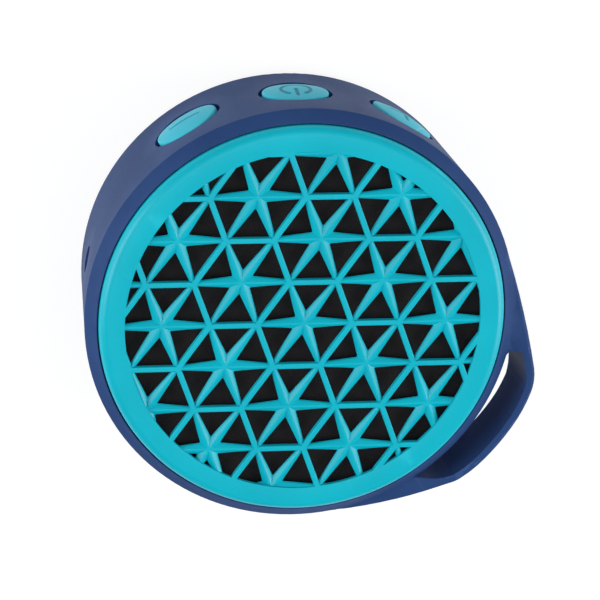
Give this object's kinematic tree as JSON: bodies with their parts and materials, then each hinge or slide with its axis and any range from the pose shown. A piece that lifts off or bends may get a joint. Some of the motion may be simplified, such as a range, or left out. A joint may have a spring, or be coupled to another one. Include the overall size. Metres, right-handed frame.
{
  "type": "portable bluetooth speaker",
  "caption": "Round pocket speaker: star-lattice grille in a ring, rubber sleeve with a carry loop, push buttons and sockets on the side, full-range driver, battery and board inside.",
  "frame": {"origin": "centre of the rest pad's flat face, on the axis of the round body", "axes": "+Z out of the grille, +Y towards the power button, +X along the level rows of the grille"},
  "size_m": [0.088, 0.083, 0.035],
  "materials": {
    "navy_rubber": "satin moulded silicone",
    "black_rubber": "matt rubber",
    "cyan_plastic": "satin moulded ABS",
    "button_plastic": "satin moulded ABS",
    "black_cloth": "woven acoustic cloth",
    "black_foam": "closed-cell foam",
    "black_plastic": "moulded ABS",
    "zinc_steel": "zinc-plated pressed steel",
    "screw_steel": "black zinc",
    "ferrite": "ground ferrite",
    "cone_paper": "pressed paper",
    "roll_rubber": "butyl rubber",
    "spider_cloth": "resin-dipped cotton",
    "copper": "enamelled copper",
    "board_laminate": "solder-masked laminate",
    "plated_steel": "tin-plated sheet",
    "can_aluminium": "drawn can",
    "white_nylon": "natural nylon",
    "cell_foil": "laminated pouch foil"
  },
  "bodies": {
    "cabinet": {"rubber_sleeve": "navy_rubber", "rest_pad": "black_rubber", "front_grille": "cyan_plastic", "acoustic_cloth": "black_cloth", "grille_foam_ring": "black_foam", "driver_gasket": "black_foam", "battery_foam": "black_foam", "rear_housing": "black_plastic", "front_baffle": "black_plastic", "aux_jack": "black_plastic", "tact_switches": "black_plastic", "amplifier_chip": "black_plastic", "driver_basket": "zinc_steel", "driver_top_plate": "zinc_steel", "driver_yoke": "zinc_steel", "baffle_screws": "screw_steel", "driver_screws": "screw_steel", "board_screws": "screw_steel", "driver_magnet": "ferrite", "cone_surround": "roll_rubber", "spider": "spider_cloth", "driver_terminals": "board_laminate", "main_board": "board_laminate", "micro_usb_socket": "plated_steel", "bluetooth_module": "plated_steel", "capacitors": "can_aluminium", "lead_connectors": "white_nylon", "battery_cell": "cell_foil"},
    "diaphragm": {"speaker_cone": "cone_paper", "dust_cap": "cone_paper", "voice_coil": "copper"},
    "power_key": {"power_button": "button_plastic", "power_switch_plunger": "black_plastic"},
    "plus_key": {"plus_button": "button_plastic", "plus_switch_plunger": "black_plastic"},
    "minus_key": {"minus_button": "button_plastic", "minus_switch_plunger": "black_plastic"}
  },
  "joints": [
    {"name": "diaphragm_stroke", "type": "slide", "parent": "cabinet", "child": "diaphragm", "axis": [0, 0, 1], "range_m": [-0.0008, 0.0008], "stiffness_N_per_m": 1500, "deforming": ["cone_surround", "spider"]},
    {"name": "power_press", "type": "slide", "parent": "cabinet", "child": "power_key", "axis": [0.0105, -0.9984, 0.0558], "range_m": [0, 0.00035], "stiffness_N_per_m": 4000},
    {"name": "plus_press", "type": "slide", "parent": "cabinet", "child": "plus_key", "axis": [-0.5052, -0.8612, 0.0558], "range_m": [0, 0.00035], "stiffness_N_per_m": 4000},
    {"name": "minus_press", "type": "slide", "parent": "cabinet", "child": "minus_key", "axis": [0.5232, -0.8504, 0.0558], "range_m": [0, 0.00035], "stiffness_N_per_m": 4000}
  ]
}
